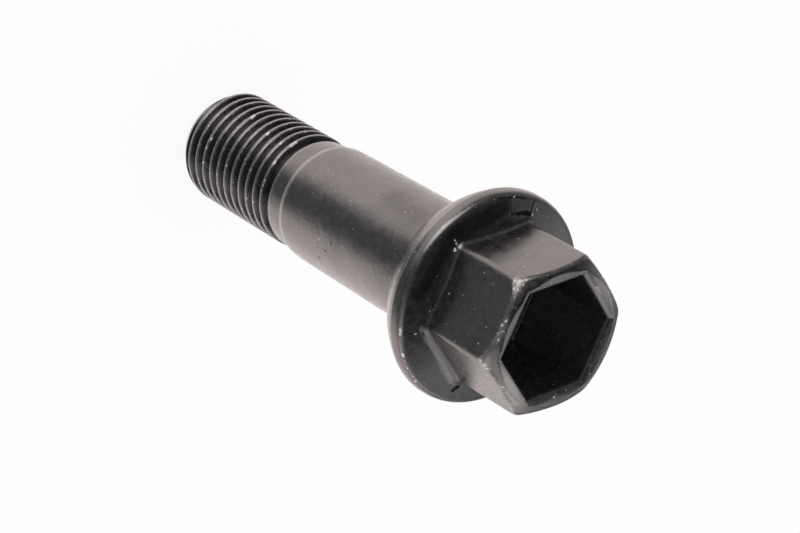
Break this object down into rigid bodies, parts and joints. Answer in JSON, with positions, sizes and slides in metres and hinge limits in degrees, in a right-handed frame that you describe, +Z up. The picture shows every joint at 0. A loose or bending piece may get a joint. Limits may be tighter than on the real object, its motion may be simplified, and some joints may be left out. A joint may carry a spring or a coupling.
{
  "type": "wheel bolt",
  "caption": "Forged wheel bolt with a tapered shank, M14 x 1.5 thread, round flange with a spherical seat behind it, and a hexagon head hollowed by a hexagon socket.",
  "frame": {"origin": "centre of the flat end of the threaded tip", "axes": "+Z up the bolt's axis from the tip to the head; +X through a corner of the hexagon"},
  "size_m": [0.0254, 0.0254, 0.064],
  "materials": {
    "black_steel": "satin black phosphate coating on forged steel, worn to bright metal in specks along the edges"
  },
  "bodies": {
    "root": {"wheel_bolt": "black_steel"}
  },
  "joints": []
}
